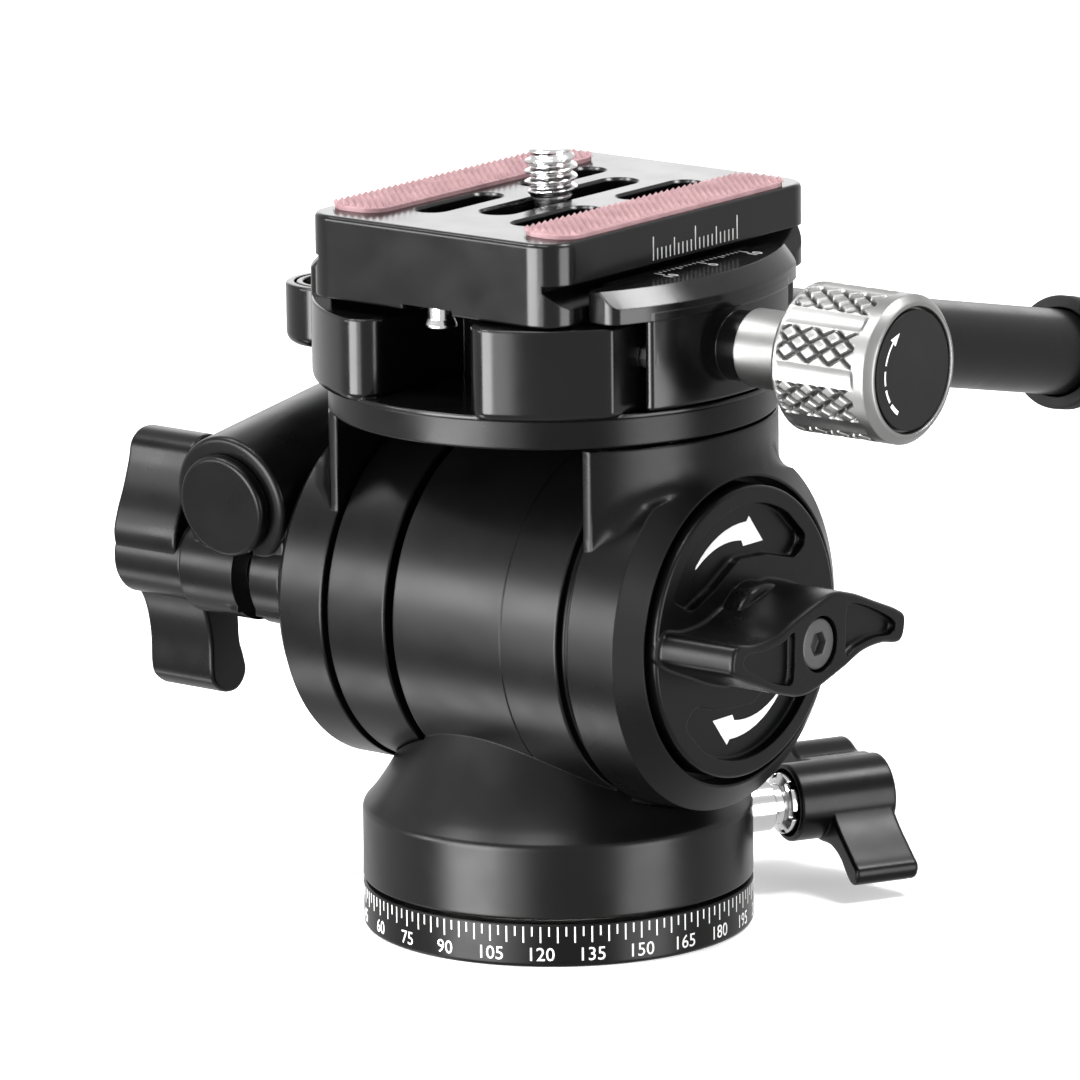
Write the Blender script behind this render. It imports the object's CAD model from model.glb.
import math

import bmesh
import bpy
from mathutils import Matrix, Vector

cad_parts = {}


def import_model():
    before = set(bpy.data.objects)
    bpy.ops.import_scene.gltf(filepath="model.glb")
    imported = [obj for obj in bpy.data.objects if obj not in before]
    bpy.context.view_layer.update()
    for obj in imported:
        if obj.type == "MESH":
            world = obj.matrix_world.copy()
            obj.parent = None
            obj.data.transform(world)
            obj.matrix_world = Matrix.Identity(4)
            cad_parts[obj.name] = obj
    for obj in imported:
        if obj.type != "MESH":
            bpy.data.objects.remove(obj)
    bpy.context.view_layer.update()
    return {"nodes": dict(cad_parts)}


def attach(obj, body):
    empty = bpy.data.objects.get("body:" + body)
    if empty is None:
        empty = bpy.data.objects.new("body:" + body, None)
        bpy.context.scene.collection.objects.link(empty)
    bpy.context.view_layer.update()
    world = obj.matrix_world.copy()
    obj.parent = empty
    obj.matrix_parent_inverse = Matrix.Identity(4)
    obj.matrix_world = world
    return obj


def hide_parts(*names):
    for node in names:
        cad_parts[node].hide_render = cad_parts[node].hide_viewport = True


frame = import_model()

# Fluid video head. Lengths are millimetres, and become metres when a mesh is made.
# +X runs along the tilt axis to the tilt knob, -Y faces the lens and +Z is up.

scene = bpy.context.scene

MM = 0.001
WHEEL = 160
ROUND = 96
PIN = 40
EDGE = 0.3
CLEARANCE = 0.3
OVERRUN = 2.0
PROUD = 0.03
SUNK = 0.05


# Places and turns. FACING_X lays a drawing's X, Y, Z along world Y, Z, X, FACING_Y along Z, X, Y,
# and FRONT along X, Z, -Y.
FACING_X = Matrix(((0, 0, 1, 0), (1, 0, 0, 0), (0, 1, 0, 0), (0, 0, 0, 1)))
FACING_Y = Matrix(((0, 1, 0, 0), (0, 0, 1, 0), (1, 0, 0, 0), (0, 0, 0, 1)))
FRONT = Matrix(((1, 0, 0, 0), (0, 0, -1, 0), (0, 1, 0, 0), (0, 0, 0, 1)))


def shift(x, y, z):
    return Matrix.Translation((x, y, z))


def turn(degrees, axis):
    return Matrix.Rotation(math.radians(degrees), 4, axis)


HALF_TURN = turn(180, "Z")


# Shapes: lists of points and faces, before they become objects

class Shape:
    def __init__(self, points, faces):
        self.points = points
        self.faces = faces

    def at(self, place):
        return Shape([place @ point for point in self.points], self.faces)

    def __add__(self, other):
        first = len(self.points)
        moved = [[first + i for i in face] for face in other.faces]
        return Shape(self.points + other.points, self.faces + moved)


def without_repeats(loop):
    return [v for i, v in enumerate(loop) if v != loop[i - 1]]


def grid(rows, closed_rows=False):
    """A surface through rows of points, each row a closed loop."""
    sides = len(rows[0])
    points = [Vector(p) for row in rows for p in row]
    faces = []
    count = len(rows) if closed_rows else len(rows) - 1
    for r in range(count):
        low, high = r * sides, (r + 1) % len(rows) * sides
        for i in range(sides):
            j = (i + 1) % sides
            faces.append([low + i, low + j, high + j, high + i])
    return Shape(points, faces)


def ring(radius, height, sides):
    """Points round Z at one height."""
    return [(radius * math.cos(2 * math.pi * i / sides), radius * math.sin(2 * math.pi * i / sides), height)
            for i in range(sides)]


def lathe(profile, sides=WHEEL):
    """A shape turned about Z from (radius, height) points. Where both ends aren't on the axis,
    the profile closes on itself."""
    rows = [ring(radius, height, sides) for radius, height in profile]
    return grid(rows, closed_rows=not (profile[0][0] == 0 and profile[-1][0] == 0))


def rod(radius, low, high, sides=PIN):
    """A plain round bar along Z, or a prism where it has few sides."""
    return lathe([(0, low), (radius, low), (radius, high), (0, high)], sides)


def rounded(points, radius=EDGE, steps=4, closed=True):
    """An outline whose corners are rounded. A point's third number is its own radius."""
    result = []
    count = len(points)
    for i, point in enumerate(points):
        here = Vector(point[:2])
        size = point[2] if len(point) > 2 else radius
        before = Vector(points[i - 1][:2]) - here
        after = Vector(points[(i + 1) % count][:2]) - here
        at_end = not closed and i in (0, count - 1)
        if at_end or size == 0:
            result.append(tuple(here))
            continue
        if min(before.length, after.length) < 1e-4 or math.pi - before.angle(after) < 0.05:
            result += [tuple(here)] * (steps + 1)
            continue
        half = before.angle(after) / 2
        reach = min(size / math.tan(half), 0.48 * before.length, 0.48 * after.length)
        size = reach * math.tan(half)
        start, end = here + before.normalized() * reach, here + after.normalized() * reach
        centre = here + (before.normalized() + after.normalized()).normalized() * size / math.sin(half)
        sweep = math.pi - 2 * half
        for k in range(steps + 1):
            t = k / steps
            arm = (start - centre) * math.sin((1 - t) * sweep) + (end - centre) * math.sin(t * sweep)
            result.append(tuple(centre + arm / math.sin(sweep)))
    return result


def turned(profile, radius=EDGE, sides=WHEEL, steps=4):
    """A lathe shape with rounded corners."""
    on_axis = profile[0][0] == 0 and profile[-1][0] == 0
    return lathe(rounded(profile, radius, steps, closed=not on_axis), sides)


def drum(radius, low, high, low_edge=EDGE, high_edge=EDGE, sides=WHEEL):
    """A round block along Z with a rounded edge at each end."""
    return turned([(0, low), (radius, low, low_edge), (radius, high, high_edge), (0, high)], sides=sides)


def arc(centre, radius, start, end, steps):
    """Points on an arc, from one angle in degrees to another."""
    result = []
    for k in range(steps + 1):
        a = math.radians(start + (end - start) * k / steps)
        result.append((centre[0] + radius * math.cos(a), centre[1] + radius * math.sin(a)))
    return result


def bent(first, pull, last, share):
    """A place on the curve from the first point to the last that the middle point pulls on."""
    return tuple((1 - share) ** 2 * a + 2 * share * (1 - share) * b + share ** 2 * c
                 for a, b, c in zip(first, pull, last))


def smooth_loop(points, steps=8):
    """A closed curve through the points."""
    result = []
    count = len(points)
    for i in range(count):
        a, b, c, d = (Vector(points[(i + k - 1) % count][:2]) for k in range(4))
        for k in range(steps):
            t = k / steps
            result.append(tuple(0.5 * (2 * b + (c - a) * t + (2 * a - 5 * b + 4 * c - d) * t * t
                                       + (3 * b - a - 3 * c + d) * t ** 3)))
    return result


def scaled(shares, reach):
    """An outline from shares of a length."""
    return [(u * reach, v * reach) for u, v in shares]


def opposite(outline):
    """The outline turned half round."""
    return [(-x, -y) for x, y in outline]


def mirrored(points):
    return [(x, -y) for x, y in reversed(points)]


def area_of(outline):
    return sum(a[0] * b[1] - b[0] * a[1] for a, b in zip(outline, outline[1:] + outline[:1])) / 2


def cornered(points, radius):
    """Corners that a loft rounds."""
    return [(p[0], p[1], radius) for p in points]


def inset(outline, depth):
    """The outline moved inward by a depth. Edges that would turn back close up."""
    count = len(outline)
    corners = [Vector(p[:2]) for p in outline]
    moved = []
    for i in range(count):
        a, b, c = corners[i - 1], corners[i], corners[(i + 1) % count]
        one, two = (b - a).normalized(), (c - b).normalized()
        n1, n2 = Vector((-one.y, one.x)), Vector((-two.y, two.x))
        moved.append(b + (n1 + n2) * depth / max(1 + n1.dot(n2), 0.3))
    for _ in range(4):
        for i in range(count):
            j = (i + 1) % count
            if (corners[j] - corners[i]).dot(moved[j] - moved[i]) < 0:
                moved[i] = moved[j] = (moved[i] + moved[j]) / 2
    return [tuple(p) for p in moved]


def loft(outline, rows):
    """A closed shape through an outline at several heights, each row an inset and a height.
    A corner's third number is its radius, which shrinks with the inset."""
    if area_of(outline) < 0:
        outline = outline[::-1]
    sizes = [p[2] if len(p) > 2 else 0 for p in outline]
    loops = []
    for depth, z in rows:
        flat = inset(outline, depth)
        flat = [(*p, max(size - depth, 0.04) if size else 0) for p, size in zip(flat, sizes)]
        loops.append([(*p, z) for p in rounded(flat, 0, 5)])
    body = grid(loops)
    count = len(loops[0])
    last = len(body.points) - count
    body.faces += [list(range(count))[::-1], [last + i for i in range(count)]]
    return body


def prism(outline, low, high, low_edge=EDGE, high_edge=EDGE, steps=3):
    """An outline raised from low to high, its end edges rounded, or bevelled where steps is 1."""
    rows = []
    for edge, end, way in ((low_edge, low, 1), (high_edge, high, -1)):
        corner = []
        for k in range(steps + 1 if edge else 1):
            a = math.pi / 2 * k / steps
            corner.append((edge * (1 - math.sin(a)), end + way * edge * (1 - math.cos(a))))
        rows += corner[::way]
    return loft(outline, rows)


def raised(outline, low, high):
    """An outline raised from low to high with plain ends."""
    return prism(outline, low, high, 0, 0, 1)


def marking(outline, top):
    """A flat marking on a surface at height top."""
    return raised(outline, top - SUNK, top + PROUD)


def box(x0, x1, y0, y1, z0, z1, edge=0.0):
    outline = [(x0, y0), (x1, y0), (x1, y1), (x0, y1)]
    if edge:
        return prism(cornered(outline, 2 * edge), z0, z1, edge, edge)
    return raised(outline, z0, z1)


def threaded(core, crest, low, high, pitch, sides=72):
    """Rows of points along a real thread. In a nut the crest is the smaller radius."""
    per_turn = 12
    count = int((high - low) / pitch * per_turn)
    rows = []
    for r in range(count + 1):
        z = low + (high - low) * r / count
        fade = min(1, (z - low) / pitch, (high - z) / pitch / 1.3)
        row = []
        for i in range(sides):
            phase = (z / pitch - i / sides) % 1
            tooth = min(1, max(0, 1.6 * (1 - abs(2 * phase - 1)) - 0.3))
            radius = core + (crest - core) * tooth * max(0.0, fade)
            a = 2 * math.pi * i / sides
            row.append((radius * math.cos(a), radius * math.sin(a), z))
        rows.append(row)
    return rows


def temporary(shape):
    mesh = bpy.data.meshes.new("work")
    mesh.from_pydata([tuple(p) for p in shape.points], [], [without_repeats(f) for f in shape.faces])
    work = bmesh.new()
    work.from_mesh(mesh)
    bmesh.ops.remove_doubles(work, verts=work.verts, dist=1e-4)
    bmesh.ops.dissolve_degenerate(work, edges=work.edges, dist=1e-5)
    bmesh.ops.recalc_face_normals(work, faces=work.faces)
    work.to_mesh(mesh)
    work.free()
    made = bpy.data.objects.new("work", mesh)
    scene.collection.objects.link(made)
    return made


def evaluated(made):
    """The object's mesh with its modifiers applied. The object itself is removed."""
    graph = bpy.context.evaluated_depsgraph_get()
    mesh = bpy.data.meshes.new_from_object(made.evaluated_get(graph))
    bpy.data.objects.remove(made)
    return mesh


def shape_of(made):
    """The object's form with its modifiers applied. The object itself is removed."""
    mesh = evaluated(made)
    result = Shape([v.co.copy() for v in mesh.vertices], [list(p.vertices) for p in mesh.polygons])
    bpy.data.meshes.remove(mesh)
    return result


def combined(shape, others, operation):
    base = temporary(shape)
    tools = [temporary(other) for other in others]
    for tool in tools:
        step = base.modifiers.new("step", "BOOLEAN")
        step.operation = operation
        step.solver = "EXACT"
        step.object = tool
    result = shape_of(base)
    for tool in tools:
        bpy.data.objects.remove(tool)
    return result


def cut(shape, *tools):
    return combined(shape, tools, "DIFFERENCE")


def fused(shape, *others):
    return combined(shape, others, "UNION")


def common(shape, *others):
    return combined(shape, others, "INTERSECT")


def together(shapes):
    """Several shapes as one, without joining their surfaces."""
    return sum(shapes, Shape([], []))


def piece(name, shape, material, body, stands_for=(), bevel=0.0, sharp=32):
    """A finished piece of the head, riding on a body. The slot counts where it stands for CAD nodes."""
    made = temporary(shape)
    made.data.transform(Matrix.Scale(MM, 4))
    if bevel:
        edges = made.modifiers.new("edges", "BEVEL")
        edges.width = bevel * MM
        edges.segments = 2
        edges.limit_method = "ANGLE"
        edges.angle_limit = math.radians(sharp)
        edges.miter_outer = "MITER_ARC"
    for face in made.data.polygons:
        face.use_smooth = True
    made.data.set_sharp_from_angle(angle=math.radians(sharp))
    weight = made.modifiers.new("flats", "WEIGHTED_NORMAL")
    weight.keep_sharp = True
    mesh = evaluated(made)
    mesh.name = name
    mesh.materials.clear()
    mesh.materials.append(material)
    finished = bpy.data.objects.new(name, mesh)
    scene.collection.objects.link(finished)
    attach(finished, body)
    if stands_for:
        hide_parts(*stands_for)


# Even copies of one mark, made by Geometry Nodes

def copies_tree():
    tree = bpy.data.node_groups.new("even_copies", "GeometryNodeTree")
    sockets = {}
    for name, kind in (("Mark", "Geometry"), ("Count", "Int"), ("Step", "Vector"), ("Turn", "Vector"),
                       ("Finish", "Material")):
        sockets[name] = tree.interface.new_socket(name, in_out="INPUT", socket_type="NodeSocket" + kind)
    tree.interface.new_socket("Marks", in_out="OUTPUT", socket_type="NodeSocketGeometry")
    nodes, links = tree.nodes, tree.links
    start, end = nodes.new("NodeGroupInput"), nodes.new("NodeGroupOutput")
    index = nodes.new("GeometryNodeInputIndex")
    places = nodes.new("GeometryNodePoints")
    copy = nodes.new("GeometryNodeInstanceOnPoints")
    real = nodes.new("GeometryNodeRealizeInstances")
    finish = nodes.new("GeometryNodeSetMaterial")
    for name, target in (("Step", places.inputs["Position"]), ("Turn", copy.inputs["Rotation"])):
        times = nodes.new("ShaderNodeVectorMath")
        times.operation = "SCALE"
        links.new(start.outputs[name], times.inputs[0])
        links.new(index.outputs[0], times.inputs["Scale"])
        links.new(times.outputs[0], target)
    links.new(start.outputs["Count"], places.inputs["Count"])
    links.new(places.outputs[0], copy.inputs["Points"])
    links.new(start.outputs["Mark"], copy.inputs["Instance"])
    links.new(copy.outputs[0], real.inputs[0])
    links.new(real.outputs[0], finish.inputs["Geometry"])
    links.new(start.outputs["Finish"], finish.inputs["Material"])
    links.new(finish.outputs[0], end.inputs[0])
    return tree, sockets


COPIES, COPY_SOCKETS = copies_tree()


def copies(shape, count, material, step=(0, 0, 0), turned_by=(0, 0, 0)):
    """A shape made of even copies of a small one, each shifted and turned on from the last."""
    made = temporary(shape)
    maker = made.modifiers.new("copies", "NODES")
    maker.node_group = COPIES
    for name, value in (("Count", count), ("Step", step), ("Turn", turned_by), ("Finish", material)):
        maker[COPY_SOCKETS[name].identifier] = value
    return shape_of(made)


# Materials

def graph_of(name):
    material = bpy.data.materials.new(name)
    material.use_nodes = True
    tree = material.node_tree
    shader = tree.nodes["Principled BSDF"]
    place = tree.nodes.new("ShaderNodeTexCoord")
    return material, tree, shader, place


def noise(tree, place, scale, detail=3.0, stretch=None):
    """Noise in the piece's own space. Scale counts features per metre."""
    node = tree.nodes.new("ShaderNodeTexNoise")
    node.inputs["Scale"].default_value = scale
    node.inputs["Detail"].default_value = detail
    source = place.outputs["Object"]
    if stretch:
        mapping = tree.nodes.new("ShaderNodeMapping")
        mapping.inputs["Scale"].default_value = stretch
        tree.links.new(source, mapping.inputs["Vector"])
        source = mapping.outputs[0]
    tree.links.new(source, node.inputs["Vector"])
    return node.outputs["Fac"]


def ranged(tree, value, start, end, low=0.0, high=1.0):
    """A value that goes from start to end, made to go from low to high."""
    node = tree.nodes.new("ShaderNodeMapRange")
    tree.links.new(value, node.inputs["Value"])
    node.inputs["From Min"].default_value = start
    node.inputs["From Max"].default_value = end
    node.inputs["To Min"].default_value = low
    node.inputs["To Max"].default_value = high
    return node.outputs[0]


def spread(tree, value, low, high):
    """Noise made to go from low to high."""
    return ranged(tree, value, 0.3, 0.7, low, high)


def larger(tree, first, second):
    node = tree.nodes.new("ShaderNodeMath")
    node.operation = "MAXIMUM"
    tree.links.new(first, node.inputs[0])
    tree.links.new(second, node.inputs[1])
    return node.outputs[0]


def tinted(tree, value, dark, light):
    ramp = tree.nodes.new("ShaderNodeValToRGB")
    ramp.color_ramp.elements[0].position = 0.35
    ramp.color_ramp.elements[1].position = 0.65
    ramp.color_ramp.elements[0].color = (*dark, 1)
    ramp.color_ramp.elements[1].color = (*light, 1)
    tree.links.new(value, ramp.inputs[0])
    return ramp.outputs[0]


def surfaced(name, dark, light, rough, metallic=0.0, level=0.5, grain=3000.0, depth=0.02, edge=0.25,
             mottle=90.0, stretch=None):
    """A finish with a fine grain, a slow change of sheen and colour, and softly broken edges."""
    material, tree, shader, place = graph_of(name)
    links = tree.links
    links.new(tinted(tree, noise(tree, place, mottle), dark, light), shader.inputs["Base Color"])
    links.new(spread(tree, noise(tree, place, mottle * 2.3, 4.0), *rough), shader.inputs["Roughness"])
    shader.inputs["Metallic"].default_value = metallic
    shader.inputs["Specular IOR Level"].default_value = level
    bump = tree.nodes.new("ShaderNodeBump")
    bump.inputs["Strength"].default_value = 1.0
    bump.inputs["Distance"].default_value = depth * MM
    links.new(noise(tree, place, grain, 2.0, stretch), bump.inputs["Height"])
    if edge:
        broken = tree.nodes.new("ShaderNodeBevel")
        broken.samples = 4
        broken.inputs["Radius"].default_value = edge * MM
        links.new(broken.outputs[0], bump.inputs["Normal"])
    links.new(bump.outputs[0], shader.inputs["Normal"])
    return material


def grey(value):
    return value, value, value


# Finishes, each with its darkest and lightest colour and then its range of roughness
BLACK_TONES = (0.0012, 0.0012, 0.0013), (0.002, 0.002, 0.0021)
ALONG_Z = (0.08, 0.08, 1.0)
ALONG_X = (1.0, 0.08, 0.08)
BLACK = surfaced("black_anodised", *BLACK_TONES, (0.26, 0.33), level=0.15, grain=5200.0, depth=0.0016)
SMOOTH_BLACK = surfaced("black_smooth", (0.0014, 0.0014, 0.0015), (0.0022, 0.0022, 0.0023), (0.17, 0.22),
                        level=0.25, grain=5200.0, depth=0.0008)
TURNED_BLACK = surfaced("black_turned", *BLACK_TONES, (0.28, 0.35), level=0.15, grain=2600.0, depth=0.0012,
                        stretch=ALONG_Z)
TURNED_BLACK_X = surfaced("black_turned_across", *BLACK_TONES, (0.27, 0.34), level=0.15, grain=2600.0,
                          depth=0.0012, stretch=ALONG_X)
DOME_BLACK = surfaced("black_satin", *BLACK_TONES, (0.28, 0.34), level=0.2, grain=5200.0, depth=0.0014)
SILVER = surfaced("satin_silver", (0.2, 0.2, 0.198), (0.25, 0.25, 0.247), (0.38, 0.45), metallic=1.0,
                  grain=2600.0, depth=0.002, stretch=(1.0, 0.05, 0.05))
CHROME = surfaced("chrome", grey(0.5), grey(0.58), (0.16, 0.22), metallic=1.0, depth=0.001, edge=0.08)
STEEL = surfaced("steel", (0.34, 0.34, 0.35), (0.46, 0.46, 0.47), (0.25, 0.38), metallic=1.0, depth=0.002)
BLACK_STEEL = surfaced("blackened_steel", grey(0.05), grey(0.09), (0.38, 0.5), metallic=0.6, depth=0.003)
BRASS = surfaced("brass", (0.5, 0.34, 0.12), (0.62, 0.44, 0.18), (0.2, 0.32), metallic=1.0, depth=0.002)
NYLON = surfaced("nylon", (0.7, 0.68, 0.62), (0.8, 0.78, 0.72), (0.45, 0.6), depth=0.004)
INLAY = surfaced("inlay_film", grey(0.004), grey(0.007), (0.42, 0.5), level=0.2, depth=0.002)
INK = surfaced("white_marking", (0.72, 0.72, 0.71), (0.86, 0.86, 0.85), (0.45, 0.6), grain=7000.0,
               depth=0.003, edge=0.0)
GREY_INK = surfaced("grey_marking", grey(0.42), (0.58, 0.58, 0.57), (0.45, 0.6), grain=7000.0, depth=0.003,
                    edge=0.0)
GRIP = surfaced("grip_rubber", grey(0.005), grey(0.009), (0.62, 0.78), level=0.2, grain=2400.0, depth=0.012)
PAD = surfaced("pad_rubber", (0.25, 0.145, 0.155), (0.33, 0.2, 0.21), (0.5, 0.68), level=0.3, grain=5200.0,
               depth=0.006, mottle=420.0, edge=0.0)


def vial_glass():
    material, tree, shader, place = graph_of("vial")
    tree.links.new(tinted(tree, noise(tree, place, 200.0), (0.72, 0.86, 0.5), (0.8, 0.92, 0.6)),
                   shader.inputs["Base Color"])
    tree.links.new(spread(tree, noise(tree, place, 300.0), 0.02, 0.06), shader.inputs["Roughness"])
    shader.inputs["Transmission Weight"].default_value = 0.85
    shader.inputs["IOR"].default_value = 1.45
    return material


VIAL = vial_glass()


# Fixed base with the degree scale

RING_RADIUS = 23.5
RING_HEIGHT = 5.3
RING_WALL = 2.2
RING_FLOOR = 4.2
HUB_RADIUS = 10.5
HUB_HEIGHT = 14.0
BUSH_RADIUS = 7.0
TRIPOD_BORE = 4.76
SCALE_OFFSET = -177.3
TICK_PITCH = 2.5
TICK_WIDTH = 0.17
LONG_TICK = 1.95
SHORT_TICK = 1.15
LABEL_STEP = 15
LABEL_SIZE = 2.3
LABEL_HEIGHT = 0.85


def scale_ring():
    bore = BUSH_RADIUS + CLEARANCE
    inner = RING_RADIUS - RING_WALL
    shape = turned([
        (bore, 0), (RING_RADIUS, 0, 0.5), (RING_RADIUS, RING_HEIGHT, 0.25), (inner, RING_HEIGHT),
        (inner, RING_FLOOR), (HUB_RADIUS, RING_FLOOR), (HUB_RADIUS, HUB_HEIGHT), (bore, HUB_HEIGHT)])
    piece("base_ring", shape, TURNED_BLACK, "base", ["scale_ring"])


def scale_ticks():
    top = RING_HEIGHT - 0.3
    step = (0, 0, math.radians(2 * TICK_PITCH))
    half = TICK_WIDTH / 2
    rings = []
    for length, first in ((LONG_TICK, 0.0), (SHORT_TICK, TICK_PITCH)):
        mark = box(RING_RADIUS - 0.1, RING_RADIUS + PROUD, -half, half, top - length, top)
        marks = copies(mark, round(180 / TICK_PITCH), INK, turned_by=step)
        rings.append(marks.at(turn(SCALE_OFFSET + first, "Z")))
    piece("scale_ticks", together(rings), INK, "base")


def lettering(text, size):
    """Upright figures as a flat shape, centred on their own width."""
    figures = bpy.data.curves.new("figures", "FONT")
    figures.body = text
    figures.size = size
    figures.align_x = "CENTER"
    figures.extrude = 0.02
    figures.resolution_u = 3
    made = bpy.data.objects.new("figures", figures)
    scene.collection.objects.link(made)
    return shape_of(made)


def scale_numbers():
    numbers = []
    for label in range(0, 360, LABEL_STEP):
        flat = lettering(str(label), LABEL_SIZE)
        middle = math.radians(SCALE_OFFSET + label)
        points = []
        for x, y, z in flat.points:
            a = middle + x / RING_RADIUS
            radius = RING_RADIUS + z
            points.append(Vector((radius * math.cos(a), radius * math.sin(a), LABEL_HEIGHT + y)))
        numbers.append(Shape(points, flat.faces))
    piece("scale_numbers", together(numbers), INK, "base")


def tripod_bush():
    depth = 13.7
    pitch = 1.588
    bore = threaded(TRIPOD_BORE + 0.75, TRIPOD_BORE, 0.6, depth - 0.02, pitch)
    outer = [(BUSH_RADIUS, depth), (BUSH_RADIUS, 0.2), (BUSH_RADIUS - 0.2, 0), (TRIPOD_BORE + 1.0, 0)]
    rows = [ring(radius, z, len(bore[0])) for radius, z in outer]
    piece("threaded_bush", grid(rows + bore, closed_rows=True), BRASS, "base", ["tripod_bush"])


# Dome and drum

TILT_HEIGHT = 39.25
DRUM_RADIUS = 21.5
DRUM_LEFT = -7.9
DRUM_RIGHT = 18.1
COVER_LEFT = -17.9
COVER_RIGHT = -9.1
SEAM_PLACE = 8.4
SEAM_WIDTH = 0.14
CHEEK_RADIUS = 21.8
SHOULDER = 14.6
NECK_RADIUS = 16.0
NECK_TOP = 27.5
CAVITY_RADIUS = 13.4
CAVITY_TOP = 18.7
COVER_BORE = 8.3
AT_TILT = shift(0, 0, TILT_HEIGHT)
ON_TILT_AXIS = AT_TILT @ FACING_X


def dome_and_drum():
    wall = [(0, CAVITY_TOP), (CAVITY_RADIUS, CAVITY_TOP), (CAVITY_RADIUS, 14.0), (10.8, 14.0), (10.8, 5.8),
            (RING_RADIUS, 5.8, 0.35), (RING_RADIUS, SHOULDER, 1.3)]
    flare = (RING_RADIUS, SHOULDER), (20.2, 17.8), (NECK_RADIUS, NECK_TOP)
    wall += [(*bent(*flare, k / 12), 0) for k in range(2, 13)]
    dome = turned(wall + [(0, NECK_TOP)], steps=6)
    step, step_radius = DRUM_RIGHT - 1.3, DRUM_RADIUS - 1.2
    barrel = turned([
        (0, DRUM_LEFT), (DRUM_RADIUS, DRUM_LEFT), (DRUM_RADIUS, SEAM_PLACE, 0.05),
        (DRUM_RADIUS - 0.16, SEAM_PLACE + SEAM_WIDTH / 2, 0.02), (DRUM_RADIUS, SEAM_PLACE + SEAM_WIDTH, 0.05),
        (DRUM_RADIUS, step), (step_radius, step), (step_radius, DRUM_RIGHT), (0, DRUM_RIGHT)])
    room = [
        (DRUM_RADIUS + CLEARANCE, COVER_LEFT - CLEARANCE, DRUM_LEFT),
        (CHEEK_RADIUS + 0.4, -50, COVER_LEFT - CLEARANCE + 0.01), (CHEEK_RADIUS + 0.4, DRUM_RIGHT, 50),
        (16.5, DRUM_LEFT - OVERRUN, 12.9), (COVER_BORE, 12.8, DRUM_RIGHT + OVERRUN)]
    tools = [rod(*size, WHEEL).at(ON_TILT_AXIS) for size in room]
    tools += [rod(CAVITY_RADIUS, 12, CAVITY_TOP, WHEEL), rod(3.1, 8, 26).at(pan_lock_place())]
    body = cut(fused(dome, barrel.at(ON_TILT_AXIS)), *tools)
    piece("dome_and_drum", body, DOME_BLACK, "pan_head", ["dome_body"])


def drum_cover():
    cover = turned([
        (COVER_BORE, COVER_LEFT), (DRUM_RADIUS, COVER_LEFT), (DRUM_RADIUS, COVER_RIGHT), (16.2, COVER_RIGHT),
        (16.2, -7.1), (COVER_BORE, -7.1)])
    piece("drum_end", cover.at(ON_TILT_AXIS), TURNED_BLACK_X, "pan_head", ["drum_cover"])


# Pan lock

PAN_LOCK_BEARING = 63.0
PAN_LOCK_HEIGHT = 10.6
PAN_WING_SHARES = [
    (-0.29, 0.1), (-0.52, -0.19), (-0.87, -0.47), (-1, -0.58), (-0.98, -0.71), (-0.87, -0.76),
    (-0.75, -0.69), (-0.58, -0.53), (-0.35, -0.44), (-0.05, -0.44), (0.22, -0.35), (0.39, -0.19),
    (0.46, -0.05), (0.66, 0.05), (0.85, 0.14), (0.9, 0.32), (0.8, 0.44), (0.62, 0.45), (0.4, 0.37),
    (0.17, 0.41), (-0.13, 0.37)]
PAN_WING_SPAN = 11.3


def pan_lock_place():
    return turn(PAN_LOCK_BEARING, "Z") @ shift(0, 0, PAN_LOCK_HEIGHT) @ FACING_X


def pan_lock():
    place = pan_lock_place()
    screw = turned([
        (0, 14.1), (2.8, 14.1), (2.8, 23.9), (3.1, 24.0), (3.1, 27.9), (2.5, 28.1), (2.5, 29.2), (3.75, 29.7),
        (3.75, 31.9), (2.8, 31.9), (2.8, 35.0), (0, 35.0)], 0.15, ROUND)
    notches = [box(3.1, 4.2, -0.55, 0.55, 29.3, 32.2).at(turn(60 * k + 12, "Z")) for k in range(6)]
    piece("pan_lock_screw_head", cut(screw, *notches).at(place), CHROME, "pan_lock", ["pan_lock_screw"],
          bevel=0.08)
    hub = drum(4.8, 30.5, 43.4, 0.4, 0.5, ROUND)
    wings = prism(smooth_loop(scaled(PAN_WING_SHARES, PAN_WING_SPAN), 6), 34.5, 43.0, 0.45, 0.6)
    mouth = lathe([(0, 28), (4.2, 28), (4.2, 32.2), (3.1, 32.2), (3.1, 35.3), (0, 35.3)], ROUND)
    piece("pan_lock_wings", cut(fused(hub, wings), mouth).at(place), BLACK, "pan_lock", ["pan_lock_knob"])


# Yoke: the arm and cheek of one side are one surface, drawn along rays from the tilt axis

YOKE_RADIUS = 26.86
YOKE_TOP = 67.0
YOKE_PLATE = 3.6
ARM_INNER = 18.5
ARM_HALF = 18.3
ARM_RISE = YOKE_TOP - YOKE_PLATE - TILT_HEIGHT - 0.3
BLEND = 2.3
DIAL_BORE = 18.35
AXLE_BORE = 5.3


def arm_reach(angle):
    """How far the side's outline is from the tilt axis along a ray: the cheek's rim, or the arm's."""
    c, s = abs(math.cos(angle)), math.sin(angle)
    if s <= 0:
        return CHEEK_RADIUS
    return max(CHEEK_RADIUS, min(ARM_HALF / max(c, 1e-6), ARM_RISE / s))


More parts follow.
